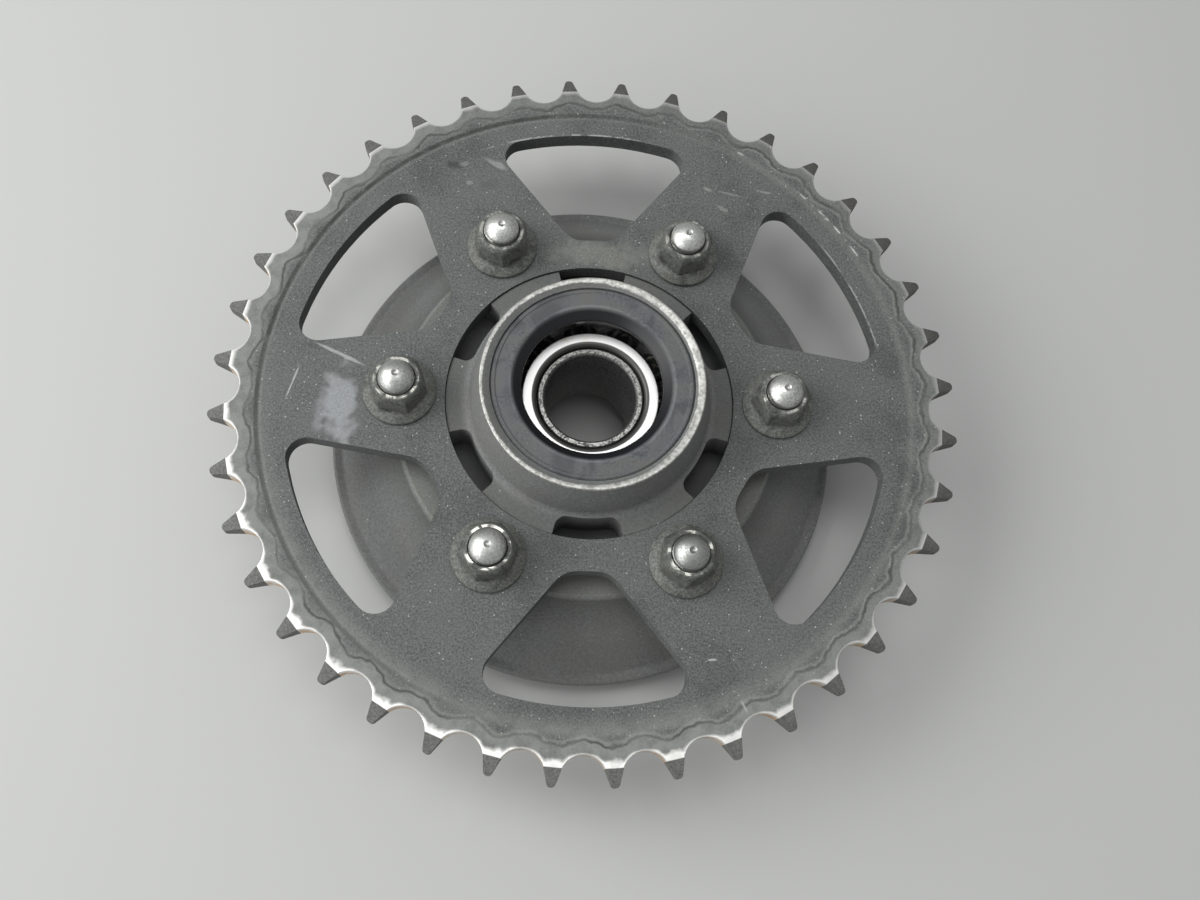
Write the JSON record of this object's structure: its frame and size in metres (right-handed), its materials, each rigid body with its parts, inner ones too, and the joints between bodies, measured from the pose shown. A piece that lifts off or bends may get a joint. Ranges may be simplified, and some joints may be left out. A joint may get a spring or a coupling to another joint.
{
  "type": "motorcycle rear sprocket on carrier",
  "caption": "Toothed roller-chain sprocket with open windows, bolted by flange nuts to a dished cush-drive carrier with bearing, dust seal and spacer sleeve.",
  "frame": {"origin": "on the wheel's axis, at the level of the damper paddles' feet, which the part rests on", "axes": "+Z along the wheel's axis, from the wheel side to the sprocket side; +X through one stud and one tooth gap"},
  "size_m": [0.2084, 0.2084, 0.0521],
  "materials": {
    "sprocket_paint": "matte black paint on steel, dusty, teeth worn to bright metal",
    "carrier_paint": "matte black paint on cast aluminium, hub rim machined bare",
    "stud_steel": "zinc plated, bright ends",
    "nut_steel": "plated, grimy, collar rubbed bright",
    "seal_rubber": "matte nitrile rubber, dusty",
    "bearing_steel": "ground and polished steel under a film of grease",
    "cage_steel": "pressed steel strip, greasy",
    "sleeve_steel": "turned steel, speckled"
  },
  "bodies": {
    "carrier": {"carrier": "carrier_paint", "sprocket": "sprocket_paint", "stud_1": "stud_steel", "stud_2": "stud_steel", "stud_3": "stud_steel", "stud_4": "stud_steel", "stud_5": "stud_steel", "stud_6": "stud_steel", "flange_nut_1": "nut_steel", "flange_nut_2": "nut_steel", "flange_nut_3": "nut_steel", "flange_nut_4": "nut_steel", "flange_nut_5": "nut_steel", "flange_nut_6": "nut_steel", "dust_seal": "seal_rubber", "bearing_outer_race": "bearing_steel"},
    "inner_race": {"bearing_inner_race": "bearing_steel", "spacer_sleeve": "sleeve_steel"},
    "ball_cage": {"bearing_cage_upper": "cage_steel", "bearing_cage_lower": "cage_steel", "bearing_ball_01": "bearing_steel", "bearing_ball_02": "bearing_steel", "bearing_ball_03": "bearing_steel", "bearing_ball_04": "bearing_steel", "bearing_ball_05": "bearing_steel", "bearing_ball_06": "bearing_steel", "bearing_ball_07": "bearing_steel", "bearing_ball_08": "bearing_steel", "bearing_ball_09": "bearing_steel", "bearing_ball_10": "bearing_steel", "bearing_ball_11": "bearing_steel"}
  },
  "joints": [
    {"name": "inner_race_spin", "type": "hinge", "parent": "carrier", "child": "inner_race", "pos_m": [0, 0, 0.0333], "axis": [0, 0, 1], "continuous": true},
    {"name": "ball_cage_orbit", "type": "hinge", "parent": "carrier", "child": "ball_cage", "pos_m": [0, 0, 0.0333], "axis": [0, 0, 1], "continuous": true}
  ],
  "couplings": [
    {"joint": "ball_cage_orbit", "follows": "inner_race_spin", "ratio": 0.41595}
  ]
}
